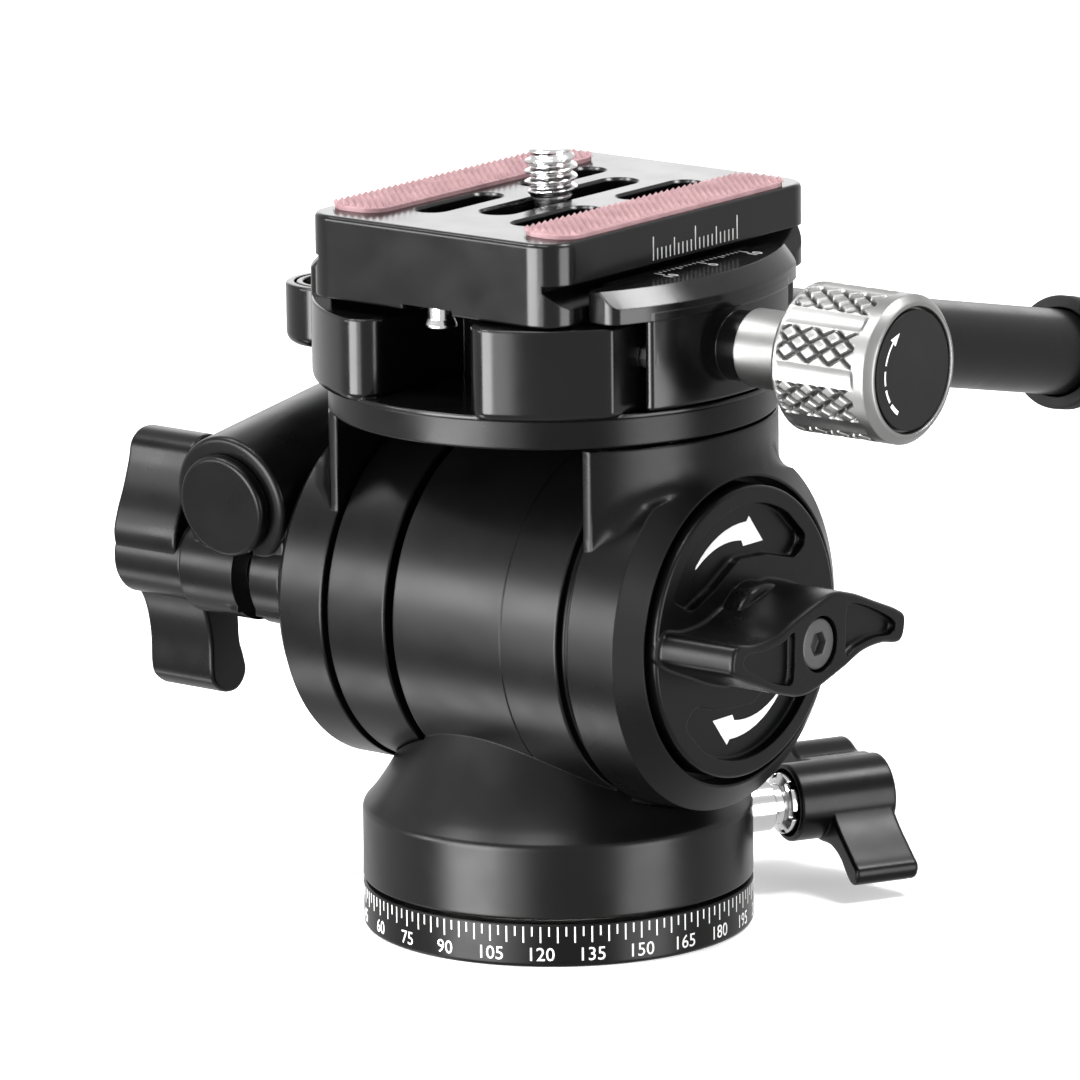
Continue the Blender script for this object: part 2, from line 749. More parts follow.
def side_profile(angle, face, rim, chamfer):
    """The section along one ray, as (radius, X) points from the inside of the rim round to the face.
    face is the cheek's outer X, chamfer where its bevel starts and rim the face's radius."""
    reach = arm_reach(angle)

    def arm(radius):
        y = min(abs(radius * math.cos(angle)), ARM_HALF)
        return min(math.sqrt(YOKE_RADIUS ** 2 - y * y), face - 0.15)

    def cheek(along):
        """A place on the cheek's side and then its bevel, by its distance from the arm's foot."""
        if along < chamfer - foot[1]:
            return foot[0], foot[1] + along
        over = along - max(chamfer - foot[1], 0)
        start = (CHEEK_RADIUS, chamfer) if foot[1] < chamfer else foot
        return start[0] + bevel[0] * over, start[1] + bevel[1] * over

    slope = Vector((rim - CHEEK_RADIUS, face - chamfer)).normalized()
    bevel = (slope.x, slope.y)
    has_arm = reach > CHEEK_RADIUS + 0.02
    foot = (CHEEK_RADIUS, min(arm(CHEEK_RADIUS), chamfer) if has_arm else ARM_INNER + 0.5)
    if has_arm and arm(CHEEK_RADIUS) > chamfer:
        # The arm stands out past the cheek's side, and meets its bevel
        radius = CHEEK_RADIUS
        for _ in range(12):
            radius = CHEEK_RADIUS - (arm(radius) - chamfer) / (face - chamfer) * (CHEEK_RADIUS - rim)
        foot = (radius, arm(radius))
    blend = min(BLEND, max(reach - CHEEK_RADIUS, 0.02))
    edge = min(0.25, reach - foot[0] if has_arm else 0.25)
    points = [(reach - 0.25, ARM_INNER), (reach - 0.07, ARM_INNER + 0.07), (reach, ARM_INNER + 0.25)]
    if has_arm:
        points += [(reach, arm(reach) - edge), (reach - 0.3 * edge, arm(reach) - 0.3 * edge)]
        start = foot[0] + blend
        points += [(r, arm(r)) for r in [reach - edge + (start - reach + edge) * k / 8 for k in range(9)]]
    else:
        points += [(reach, ARM_INNER + 0.3 + 0.01 * k) for k in range(11)]
    room = max(chamfer - foot[1], 0) + (face - max(chamfer, foot[1])) / bevel[1] - 0.1
    end = cheek(min(blend, room))
    points += [bent(points[-1], foot, end, k / 8) for k in range(1, 9)]
    # The cheek's side up to its bevel, and the bevel up to the face
    if end[1] < chamfer:
        points += [(CHEEK_RADIUS, chamfer - 0.12), (CHEEK_RADIUS, chamfer),
                   (CHEEK_RADIUS + bevel[0] * 0.12, chamfer + bevel[1] * 0.12)]
    else:
        points += [end] * 3
    last = points[-1]
    points += [(last[0] + (rim - last[0]) * k / 6, last[1] + (face - last[1]) * k / 6) for k in range(1, 7)]
    return points


def yoke_side(face, rim, chamfer, dial_floor, dial_bore):
    sides = 288
    top = math.atan2(ARM_RISE, ARM_HALF)
    foot = math.acos(ARM_HALF / CHEEK_RADIUS)
    angles = [2 * math.pi * i / sides - math.pi / 2 for i in range(sides)]
    angles += [top, math.pi - top, foot, math.pi - foot, foot + 0.004, math.pi - foot - 0.004]
    if dial_bore:
        inside = [(dial_bore + 0.12, face), (dial_bore, face - 0.12), (dial_bore, dial_floor),
                  (AXLE_BORE, dial_floor)]
    else:
        inside = [(AXLE_BORE + 0.2, face), (AXLE_BORE, face - 0.2)]
    inside += [(AXLE_BORE, ARM_INNER), (8.7, ARM_INNER), (8.7, 19.9), (17.3, 19.9), (17.3, ARM_INNER)]
    rows = [[(x, radius * math.cos(angle), radius * math.sin(angle))
             for radius, x in side_profile(angle, face, rim, chamfer) + inside] for angle in sorted(angles)]
    return grid(rows, closed_rows=True).at(AT_TILT)


def yoke():
    right = yoke_side(27.6, 18.7, 25.4, 24.1, DIAL_BORE)
    left = yoke_side(26.4, 20.2, 24.8, 0, None).at(HALF_TURN)
    low = YOKE_TOP - YOKE_PLATE
    disc = drum(YOKE_RADIUS, low, YOKE_TOP, EDGE, 0.35)
    neck = box(ARM_INNER + 1, 24.6, -9, 9, low - 1.5, low + 0.6)
    body = right + left + disc + neck + neck.at(HALF_TURN)
    piece("yoke_frame", body, BLACK, "yoke", ["tilt_yoke"], sharp=28)


# Tilt knob

LEVER_SPAN = 17.1
LEVER_SHARES = [
    (0.13, 0.33), (0.38, 0.29), (0.66, 0.18), (0.94, 0.06), (1, -0.02), (0.94, -0.16), (0.73, -0.135),
    (0.5, -0.15), (0.26, -0.23)]
POCKET_SHARES = [
    (0.31, 0.2), (0.4, 0.215), (0.62, 0.135), (0.86, 0.0), (0.83, -0.085), (0.62, -0.075), (0.42, -0.1),
    (0.3, -0.14), (0.29, 0.0)]
DIAL_FACE = 28.6
DIAL_FLOOR = 24.4
DIAL_RADIUS = 17.5
LEVER_TOP = 39.5
RECESS = 1.3


def crescent(reach):
    """The hollow in the dial beside the lever: an arc outside and the lever's skirt inside."""
    outside = arc((0, 0), reach, 36, 161, 24)
    skirt = [(-10.6, 4.3, 2.0), (-6.0, 6.2, 4.0), (-1.2, 9.0, 3.0), (4.2, 8.6, 3.0), (9.8, 7.1, 1.9)]
    return rounded(cornered(outside[:1], 1.9) + outside[4:-1] + skirt, 1.2, 6)


def tilt_knob():
    dial = drum(DIAL_RADIUS, DIAL_FLOOR, DIAL_FACE, EDGE, 0.45)
    half = scaled(LEVER_SHARES, LEVER_SPAN)
    rows = [(-0.5, DIAL_FACE - 1.5), (-0.5, DIAL_FACE - 0.1)]
    rows += [(-0.5 * (1 - math.sin(a)), DIAL_FACE + 0.5 - 0.5 * math.cos(a)) for a in (0.4, 0.8, 1.2, 1.57)]
    rows += [(0.0, LEVER_TOP - 0.55), (0.08, LEVER_TOP - 0.27), (0.27, LEVER_TOP - 0.08), (0.55, LEVER_TOP)]
    lever = loft(smooth_loop(half + opposite(half), 8), rows)
    hollow = crescent(15.4)
    tools = [prism(outline, DIAL_FACE - RECESS, DIAL_FACE + OVERRUN, 0.4, 0)
             for outline in (hollow, opposite(hollow))]
    hub = drum(6.2, DIAL_FACE - 1, DIAL_FACE + 3.0, EDGE, 0.8)
    body = fused(cut(dial, *tools), lever, hub)
    pockets = []
    for way in (1, -1):
        outline = smooth_loop(scaled(POCKET_SHARES, way * LEVER_SPAN), 6)
        pockets.append(prism(outline, LEVER_TOP - 0.95, LEVER_TOP + OVERRUN, 0.35, 0))
    counterbore = rod(3.4, 36.8, 42, ROUND)
    shank = rod(1.8, 27, 37.5)
    socket = rod(5.3, 20, 30.9)
    body = cut(body, *pockets, counterbore, shank, socket)
    piece("tilt_lever_and_dial", body.at(ON_TILT_AXIS), BLACK, "tilt_lock", ["tilt_knob"])
    head = turned([(0, 32.6), (1.5, 32.6), (1.5, 37.1), (3.1, 37.1), (3.1, 39.2, 0.3), (0, 39.2)], 0.1, ROUND)
    hexagon = rod(1.55, 38.0, 42, 6)
    piece("tilt_knob_cap_screw", cut(head, hexagon).at(ON_TILT_AXIS), BLACK_STEEL, "tilt_lock",
          ["tilt_knob_screw"], bevel=0.06)


def arrow_outline():
    """The upper bent arrow on the dial, from its tail to its head and back."""
    points = [(12.1, 132.8)]
    points += [(12.25 + 0.75 * k / 8, 131 - 49 * k / 8) for k in range(9)]
    points += [(13.65, 80.2), (11.2, 63.5), (10.1, 83.3), (10.8, 85.5)]
    points += [(10.8 + 1.15 * k / 8, 86 + 45 * k / 8) for k in range(1, 9)]
    return [(r * math.cos(math.radians(a)), r * math.sin(math.radians(a))) for r, a in points]


def dial_arrows():
    arrow = arrow_outline()
    marks = marking(arrow, DIAL_FACE - RECESS) + marking(opposite(arrow), DIAL_FACE - RECESS)
    piece("dial_arrows", marks.at(ON_TILT_AXIS), INK, "tilt_lock")


# Clamp on the yoke plate

CLAMP_RADIUS = 28.7
CLAMP_TOP = 78.0
FIXED_TOP = 77.0
CHANNEL_LEFT = -6.4
CHANNEL_RIGHT = 7.0
WEB_HALF = 9.0
WEB_TOP = 75.6
BLOCK_RIGHT = 22.7
CORNER = 3.2
CLAMP_EDGE = 1.1
LIP_TOP = 82.25
LIP_INNER = 19.3
LIP_HALF = 18.0
LIP_BEVEL = 2.0
TOOTH_HALF = 13.8
MOUNT_SCREWS = [(-12.5, -12.0), (-12.5, 12.0)]
GUIDE_PINS = (-11, 11)
GUIDE_RADIUS = 1.8
SCREW_RADIUS = 2.8
CLAMP_AXIS = 73.75
ON_CLAMP_AXIS = shift(0, 0, CLAMP_AXIS) @ FACING_X
LEVEL_PLACE = -33.4
AT_LEVEL = shift(LEVEL_PLACE, 0, 0)


def rim_corner(edge, way, radius, steps=8):
    """The rounded front corner where a flat side at X = edge meets the clamp's rim. The solid lies
    to the right of the side where way is 1."""
    x = edge + way * radius
    y = -math.sqrt((CLAMP_RADIUS - radius) ** 2 - x * x)
    at_rim = math.degrees(math.atan2(y, x))
    if way > 0:
        return arc((x, y), radius, -180, at_rim, steps)
    return arc((x, y), radius, at_rim, 0, steps)


def clamp_base():
    front = rim_corner(CHANNEL_LEFT, -1, CORNER)
    turn_in = math.degrees(math.atan2(front[0][1], front[0][0]))
    rim = arc((0, 0), CLAMP_RADIUS, -360 - turn_in, turn_in, 96)
    left = prism(rim[:-1] + front + mirrored(front)[:-1], YOKE_TOP, FIXED_TOP, CLAMP_EDGE, 0.35)
    front, side = rim_corner(CHANNEL_RIGHT, 1, CORNER), rim_corner(BLOCK_RIGHT, -1, 0.8, 4)
    start = math.degrees(math.atan2(front[-1][1], front[-1][0]))
    end = math.degrees(math.atan2(side[0][1], side[0][0]))
    half = front + arc((0, 0), CLAMP_RADIUS, start, end, 24)[1:-1] + side
    right = prism(half + mirrored(half), YOKE_TOP, CLAMP_TOP, CLAMP_EDGE, 0.35)
    disc = prism(arc((0, 0), CLAMP_RADIUS - 1.2, end, 360 - end, 96), YOKE_TOP, YOKE_TOP + 0.5, 0.05, 0.2)
    web = box(CHANNEL_LEFT - 1, CHANNEL_RIGHT + 1, -WEB_HALF, WEB_HALF, YOKE_TOP + 0.1, WEB_TOP, 0.4)
    spring_nest = rod(4, 16.6, 30)
    tools = [rod(SCREW_RADIUS, -8, 30).at(ON_CLAMP_AXIS), spring_nest.at(ON_CLAMP_AXIS)]
    tools += [rod(GUIDE_RADIUS, 13.3, 30).at(shift(0, y, 0) @ ON_CLAMP_AXIS) for y in GUIDE_PINS]
    for x, y in MOUNT_SCREWS:
        tools.append(rod(3.7, 73.2, 90, ROUND).at(shift(x, y, 0)))
        tools.append(rod(2.2, 60, 74).at(shift(x, y, 0)))
    body = cut(fused(left, right, web), *tools)
    half = math.degrees(math.asin(LIP_HALF / CLAMP_RADIUS))
    lip_rim = arc((0, 0), CLAMP_RADIUS, 180 - half, 180 + half, 36)
    lip_outline = [(-LIP_INNER + 4, LIP_HALF)] + cornered(lip_rim[:1], 1.2) + lip_rim[2:-2]
    lip_outline += cornered(lip_rim[-1:], 1.2) + [(-LIP_INNER + 4, -LIP_HALF)]
    lip = prism(lip_outline, FIXED_TOP - 0.4, LIP_TOP, 0, LIP_BEVEL, 1)
    lip = cut(lip, box(-LIP_INNER, 0, -40, 40, 60, 90))
    teeth = tooth().at(HALF_TURN)
    lug_top = YOKE_TOP + 7.5
    lug = drum(6, YOKE_TOP, lug_top, 1.4, 0.35, ROUND)
    bridge = box(LEVEL_PLACE, -26, -4, 4, YOKE_TOP + 1, YOKE_TOP + 6.2, 0.3)
    lug = cut(fused(lug.at(AT_LEVEL), bridge), rod(5.0, 70.0, 80, ROUND).at(AT_LEVEL))
    piece("clamp_block", body + disc + lip + teeth + lug, SMOOTH_BLACK, "yoke", ["clamp_base"])


def tooth():
    """The dovetail's tooth along the inside of a lip, on the right side."""
    bottom = 79.55
    section = [(LIP_INNER + 0.5, bottom - 0.3), (LIP_INNER, bottom - 0.3), (LIP_INNER - 1.1, bottom + 0.8),
               (LIP_INNER - 1.1, LIP_TOP), (LIP_INNER + 0.5, LIP_TOP)]
    return prism(section, -TOOTH_HALF, TOOTH_HALF, 0.1, 0.1).at(FRONT)


def mount_screws():
    head = turned([(0, 64.4), (1.9, 64.4), (1.9, 73.5), (3.4, 73.5), (3.4, 76.7, 0.3), (0, 76.7)], 0.1, ROUND)
    screw = cut(head, rod(1.9, 75.0, 80, 6))
    for name, (x, y) in zip(("front", "rear"), MOUNT_SCREWS):
        piece("mount_cap_screw_" + name, screw.at(shift(x, y, 0)), BLACK_STEEL, "yoke",
              ["mount_screw_" + name], bevel=0.06)


JAW_INNER = 24.2
JAW_REACH = 27.7
JAW_RADIUS = 36.7
JAW_HALF = 13.4
COLLAR_START = 30.5
COLLAR_RADIUS = 4.7


def jaw_outline(inner, half, corner, reach=JAW_REACH):
    """The jaw seen from above. Its ends are rounded where they meet the bent front."""
    centre = reach - JAW_RADIUS
    y = -half + corner
    x = centre + math.sqrt((JAW_RADIUS - corner) ** 2 - y * y)
    at_rim = math.degrees(math.atan2(y, x - centre))
    front = arc((x, y), corner, -90, at_rim, 8)
    rim = arc((centre, 0), JAW_RADIUS, at_rim, -at_rim, 36)
    return [(inner, -half, 0.5)] + front + rim[1:-1] + mirrored(front) + [(inner, half, 0.5)]


def clamp_jaw():
    lip_bottom = 78.45
    body = prism(jaw_outline(JAW_INNER, JAW_HALF, 0.7, JAW_REACH - 0.02), 67.7, lip_bottom + 1.0, 0.5, 0.05)
    slanted = []
    for z in (lip_bottom - 5, LIP_TOP - LIP_BEVEL, LIP_TOP + OVERRUN):
        back = max(0.0, z - LIP_TOP + LIP_BEVEL) - 0.05
        slanted.append([(x - back, y, z) for x, y in rounded(jaw_outline(5, LIP_HALF + 6, 0.5), 0, 1)])
    wedge = grid(slanted)
    count = len(slanted[0])
    wedge.faces += [list(range(count))[::-1], [2 * count + i for i in range(count)]]
    lip = common(prism(jaw_outline(LIP_INNER, LIP_HALF, 2.0), lip_bottom, LIP_TOP, 0.05, 0.2), wedge)
    neck = rod(4.2, JAW_REACH - 0.6, COLLAR_START - CLEARANCE).at(ON_CLAMP_AXIS)
    tools = [rod(SCREW_RADIUS, 20, 34).at(ON_CLAMP_AXIS)]
    tools += [rod(GUIDE_RADIUS, 20, 25.3).at(shift(0, y, 0) @ ON_CLAMP_AXIS) for y in GUIDE_PINS]
    piece("sliding_jaw", cut(fused(body, neck), *tools) + lip + tooth(), SMOOTH_BLACK, "jaw", ["clamp_jaw"])


def jaw_marks():
    """The fixed half of the plate's scale, on the lip's top."""
    start, first, pitch = 19.5, -5.4, 0.82

    def line(y, length, half):
        return box(start, start + length, y - half, y + half, LIP_TOP - SUNK, LIP_TOP + PROUD)

    marks = []
    for y, label in ((first, "10"), (2.8, "0"), (11.0, "10")):
        marks.append(line(y, 1.5, 0.08))
        marks.append(lettering(label, 2.0).at(shift(22.6, y, LIP_TOP) @ turn(90, "Z")))
    marks += [line(first + pitch * k, 0.5 if k % 5 else 0.9, 0.05) for k in range(21)]
    piece("jaw_scale", together(marks), GREY_INK, "jaw")


# Clamp knob

KNOB_RADIUS = 8.85
KNOB_START = 38.4
KNOB_END = 53.1
KNOB_EDGE = 0.9
KNOB_FACE = KNOB_END - 0.1
KNURL_START = KNOB_START + 1.2
KNURL_END = KNOB_END - 2.6
KNURL_STEP = 0.1
PATCHES = 8
PATCH_HALF = math.radians(14.4)
KNURL_DEPTH = 0.75
KNURL_PITCH = 2.2
KNURL_LEAN = 0.7
GROOVE_SHARE = 0.19
FLUTE_DEPTH = 0.3


def knurl(x, angle):
    """How far the knob's surface lies below its full radius at a place along and round it."""
    from_patch = angle / (2 * math.pi) * PATCHES % 1 - 0.5
    away = abs(from_patch) * 2 * math.pi / PATCHES
    along = min(x - KNURL_START, KNURL_END - x)
    inside = PATCH_HALF - away
    depth = 0.0
    if along > 0 and inside > 0:
        arc_length = angle * KNOB_RADIUS
        for way in (1, -1):
            phase = (x * KNURL_LEAN + way * arc_length) / KNURL_PITCH
            groove = abs(phase - round(phase))
            depth = max(depth, KNURL_DEPTH * max(0.0, 1 - groove / GROOVE_SHARE))
        depth *= min(1.0, along / 0.25, inside * KNOB_RADIUS / 0.25)
    if inside < 0 and along > -0.4:
        hollow = min(1.0, -inside / (math.pi / PATCHES - PATCH_HALF))
        depth = max(depth, FLUTE_DEPTH * math.sin(hollow * math.pi / 2) * min(1.0, (along + 0.4) / 0.6))
    return depth


def knurled_silver():
    """Satin silver that is dark at the bottom of the knob's grooves."""
    material = SILVER.copy()
    material.name = "knurled_silver"
    tree = material.node_tree
    shader = tree.nodes["Principled BSDF"]
    place = tree.nodes.new("ShaderNodeTexCoord")
    from_axis = tree.nodes.new("ShaderNodeMapping")
    from_axis.inputs["Location"].default_value = (0, 0, -CLAMP_AXIS * MM)
    from_axis.inputs["Scale"].default_value = (0, 1, 1)
    tree.links.new(place.outputs["Object"], from_axis.inputs["Vector"])
    radius = tree.nodes.new("ShaderNodeVectorMath")
    radius.operation = "LENGTH"
    tree.links.new(from_axis.outputs[0], radius.inputs[0])
    height = ranged(tree, radius.outputs["Value"], (KNOB_RADIUS - KNURL_DEPTH) * MM,
                    (KNOB_RADIUS - FLUTE_DEPTH) * MM)
    along = tree.nodes.new("ShaderNodeSeparateXYZ")
    tree.links.new(place.outputs["Object"], along.inputs[0])
    x = along.outputs["X"]
    before = ranged(tree, x, (KNOB_START + 1.0) * MM, (KNOB_START + 1.1) * MM, 1.0, 0.0)
    beyond = ranged(tree, x, (KNOB_END - 1.5) * MM, (KNOB_END - 1.4) * MM)
    bright = larger(tree, larger(tree, height, before), beyond)
    blend = tree.nodes.new("ShaderNodeMix")
    blend.data_type = "RGBA"
    blend.inputs["A"].default_value = (0.012, 0.012, 0.012, 1)
    tree.links.new(bright, blend.inputs["Factor"])
    tree.links.new(shader.inputs["Base Color"].links[0].from_socket, blend.inputs["B"])
    tree.links.new(blend.outputs["Result"], shader.inputs["Base Color"])
    return material


KNURLED = knurled_silver()


def clamp_knob():
    sides = 560
    lengths = [KNOB_START + KNOB_EDGE + KNURL_STEP * k for k in range(127)]
    head = rounded([(COLLAR_RADIUS, COLLAR_START, 0), (COLLAR_RADIUS, KNOB_START, 0.2),
                    (KNOB_RADIUS - KNOB_EDGE, KNOB_START, 0.3), (KNOB_RADIUS, KNOB_START + KNOB_EDGE, 0)],
                   0.2, 3, closed=False)
    seat = KNOB_END - 1.1
    tail = rounded([(KNOB_RADIUS, lengths[-1], 0), (KNOB_RADIUS, KNOB_END - KNOB_EDGE, 0.3),
                    (KNOB_RADIUS - KNOB_EDGE, KNOB_END, 0.35), (7.5, KNOB_END, 0.15), (7.4, seat, 0.1),
                    (2.6, seat, 0)], 0.2, 3, closed=False)

    def row(radius, x, worked):
        result = []
        for i in range(sides):
            a = 2 * math.pi * (i + 0.5) / sides
            r = radius - (knurl(x, a) if worked else 0)
            result.append((r * math.cos(a), r * math.sin(a), x))
        return result

    rows = [row(r, x, False) for r, x in head] + [row(KNOB_RADIUS, x, True) for x in lengths]
    rows += [row(r, x, False) for r, x in tail[1:] + [(SCREW_RADIUS, 36.3), (SCREW_RADIUS, COLLAR_START)]]
    shape = grid(rows, closed_rows=True).at(ON_CLAMP_AXIS)
    piece("knurled_knob", shape, KNURLED, "clamp_wheel", ["clamp_knob"], sharp=50)
    inlay = drum(7.1, KNOB_END - 0.8, KNOB_FACE, 0.1, 0.12, ROUND)
    piece("knob_face", inlay.at(ON_CLAMP_AXIS), INLAY, "clamp_wheel", ["knob_inlay"])


def inlay_arrow():
    """The round arrow on the knob's face, in bars that get thinner towards its head."""
    radius = 5.45
    head_half = 0.62

    def at(distance, angle):
        return distance * math.cos(math.radians(angle)), distance * math.sin(math.radians(angle))

    marks = []
    for start, end, width in ((-123, -141, 0.5), (-146, -164, 0.3), (-170, -188, 0.26), (-195, -226, 0.24)):
        outer = arc((0, 0), radius + width / 2, start, end, 8)
        inner = arc((0, 0), radius - width / 2, end, start, 8)
        marks.append(marking(outer + inner, KNOB_FACE))
    head = [at(radius, -242), at(radius + head_half, -225), at(radius - head_half, -225)]
    marks.append(marking(head, KNOB_FACE))
    piece("knob_arrow", together(marks).at(ON_CLAMP_AXIS), INK, "clamp_wheel")


# Bullseye level

def level():
    bezel = turned([(3.9, 70.3), (4.7, 70.3), (4.7, 74.5, 0.2), (3.9, 74.5, 0.15)], 0.1, ROUND)
    piece("level_bezel", bezel.at(AT_LEVEL), SMOOTH_BLACK, "yoke", ["level_ring"])
    vial = turned([(0, 70.3), (3.6, 70.3), (3.6, 73.8, 0.5), (0, 74.2)], 0.2, ROUND)
    piece("level_glass", vial.at(AT_LEVEL), VIAL, "yoke", ["level_vial"])
    circle = lathe([(1.5, 74.17), (1.65, 74.15), (1.65, 74.24), (1.5, 74.26)], ROUND)
    piece("level_circle", circle.at(AT_LEVEL), BLACK, "yoke")


# Quick release plate

PLATE_CENTRE = 1.6
PLATE_BOTTOM = 78.25
PLATE_TOP = 88.25
PLATE_HALF = 19.0
PLATE_LENGTH = 50.8
PLATE_CORNER = 4.2
GROOVE_WALL = PLATE_HALF - 2.3
GROOVE_TOP = PLATE_BOTTOM + 5.0
STOP_SCREW_PLACE = 22.7
SLOT_BEVEL = 0.32
AT_PLATE = shift(0, PLATE_CENTRE, 0)


def slot_outline(x, y0, y1, width):
    half = width / 2
    return arc((x, y1 - half), half, 0, 180, 12) + arc((x, y0 + half), half, 180, 360, 12)


def slot_relief(x, y0, y1, width):
    """A small bevel round a slot's mouth."""
    wide = slot_outline(x, y0 - SLOT_BEVEL, y1 + SLOT_BEVEL, width + 2 * SLOT_BEVEL)
    return prism(wide, PLATE_TOP - 0.3, PLATE_TOP + 0.6, 0.3, 0, 1)


def plate():
    half = PLATE_LENGTH / 2
    outline = rounded([(-PLATE_HALF, -half), (PLATE_HALF, -half), (PLATE_HALF, half), (-PLATE_HALF, half)],
                      PLATE_CORNER, 10)
    blank = prism(outline, PLATE_BOTTOM, PLATE_TOP, 0.35, 0.6)
    tools = []
    slots = [(0, -13.7, 13.7, 4.6)]
    for x in (-7.3, 7.3):
        slots += [(x, -17, -3, 4.0), (x, 3, 17, 4.0)]
    for slot in slots:
        tools += [raised(slot_outline(*slot), 70.0, 95.0), slot_relief(*slot)]
    section = [(PLATE_HALF + 2, PLATE_BOTTOM), (PLATE_HALF, PLATE_BOTTOM + 2),
               (GROOVE_WALL, PLATE_BOTTOM + 4.3), (GROOVE_WALL, GROOVE_TOP), (PLATE_HALF + 2, GROOVE_TOP)]
    groove = raised(section, -half - OVERRUN, half + OVERRUN).at(FRONT)
    tools += [groove, groove.at(HALF_TURN), box(-3.7, 3.7, -40, 40, 70, PLATE_BOTTOM + 0.7)]
    for y in (-STOP_SCREW_PLACE, STOP_SCREW_PLACE):
        tools += [rod(1.95, 70, 80.45).at(shift(0, y, 0)), rod(1.2, 70, 84.3).at(shift(0, y, 0))]
    body = cut(blank.at(AT_PLATE), *(tool.at(AT_PLATE) for tool in tools))
    piece("dovetail_plate", body, SMOOTH_BLACK, "plate", ["quick_release_plate"])


def plate_ticks():
    pitch, first, bottom = 0.815, -4.9, 83.65
    half = 0.09
    marks = copies(box(-0.02, PROUD, -half, half, 0, 1.35), 21, GREY_INK, step=(0, pitch, 0))
    marks = marks.at(shift(PLATE_HALF, first, bottom))
    for k in range(0, 21, 5):
        y = first + pitch * k
        high = 2.85 if k % 10 == 0 else 2.15
        marks = marks + box(PLATE_HALF - 0.02, PLATE_HALF + PROUD + 0.005, y - half, y + half,
                            bottom, bottom + high)
    piece("plate_scale", marks, GREY_INK, "plate")


PAD_WIDTH = 8.2
PAD_LENGTH = 44.0
PAD_RISE = 1.0
PAD_BASE = 0.55
PAD_CORNER = 3.0
PYRAMID = 0.56


def pad(name, side):
    """A rubber strip with rounded ends and rows of small pyramids on top."""
    half, length = PAD_WIDTH / 2, PAD_LENGTH / 2
    middle = shift(side * (PLATE_HALF - 0.5 - half), PLATE_CENTRE, 0)
    x, y = half - 0.25, length - 0.25
    outline = cornered([(-x, -y), (x, -y), (x, y), (-x, y)], PAD_CORNER)
    shape = prism(outline, PLATE_TOP + 0.01, PLATE_TOP + PAD_BASE, 0, 0.08, 1)
    foot = PYRAMID - 0.012
    corners = [(-foot, 0, -0.02), (0, -foot, -0.02), (foot, 0, -0.02), (0, foot, -0.02)]
    pyramid = Shape([Vector(p) for p in corners + [(0, 0, PAD_RISE - PAD_BASE)]],
                    [[0, 1, 4], [1, 2, 4], [2, 3, 4], [3, 0, 4], [3, 2, 1, 0]])
    columns = int((half - PYRAMID / 2) / PYRAMID)
    for k in range(-columns, columns + 1):
        x = k * PYRAMID
        over = max(0.0, abs(x) - half + PAD_CORNER)
        reach = length - PAD_CORNER + math.sqrt(PAD_CORNER ** 2 - over * over) - PYRAMID * 0.6
        count = 2 * int(reach / PYRAMID / 2 - (k % 2) / 2) + 1 + k % 2
        column = copies(pyramid, count, PAD, step=(0, 2 * PYRAMID, 0))
        shape = shape + column.at(shift(x, -PYRAMID * (count - 1), PLATE_TOP + PAD_BASE))
    piece(name + "_tread", shape.at(middle), PAD, "plate", [name], sharp=20)


def plate_screws():
    head = turned([(0, 76.25), (1.9, 76.25, 0.2), (1.9, 76.6, 0.2), (1.6, 77.3, 0.3), (1.6, 80.15),
                   (0.9, 80.15), (0.9, 83.65), (0, 83.65)], 0.1, PIN)
    screw = cut(head, rod(0.75, 70, 77.4, 6))
    for name, y in (("front", -STOP_SCREW_PLACE), ("rear", STOP_SCREW_PLACE)):
        piece("stop_pin_" + name, screw.at(shift(0, PLATE_CENTRE + y, 0)), CHROME, "plate",
              ["stop_screw_" + name])


def camera_screw():
    pitch = 1.27
    rows = threaded(2.45, 3.18, 88.45, 94.3, pitch)
    sides = len(rows[0])
    low = [(0, 78.25), (3.0, 78.25), (3.35, 78.5), (3.35, 79.35), (2.0, 79.45), (2.0, 88.3)]
    top = [(2.3, 94.38), (2.1, 94.44), (0, 94.45)]
    shape = grid([ring(r, z, sides) for r, z in low] + rows + [ring(r, z, sides) for r, z in top])
    driver = rod(1.9, 77, 79.0, 6)
    piece("camera_thread", cut(shape, driver), CHROME, "camera_screw", ["camera_screw"], sharp=40)


# Handle clamp on the left cheek

PIVOT_Y = -12.0
PIVOT_Z = 40.6
SLEEVE_X = -35.4
SLEEVE_Y = -18.2
SLEEVE_Z = 49.9
SLOPE = 8.0
SLEEVE_RADIUS = 8.3
SLEEVE_LENGTH = 28.5
SLEEVE_BORE = 6.05
TUBE_RADIUS = 5.75
FLANK_SHARES = [
    (1, 1), (0.99, 0.86), (0.9, 0.66), (0.72, 0.41), (0.5, 0.22), (0.36, 0.09), (0.15, 0.01), (0, 0)]
HANDLE_PLACE = shift(SLEEVE_X, SLEEVE_Y, SLEEVE_Z) @ turn(SLOPE, "X")
ALONG_SLEEVE = HANDLE_PLACE @ FACING_Y
ON_PIVOT = shift(0, PIVOT_Y, PIVOT_Z) @ FACING_X


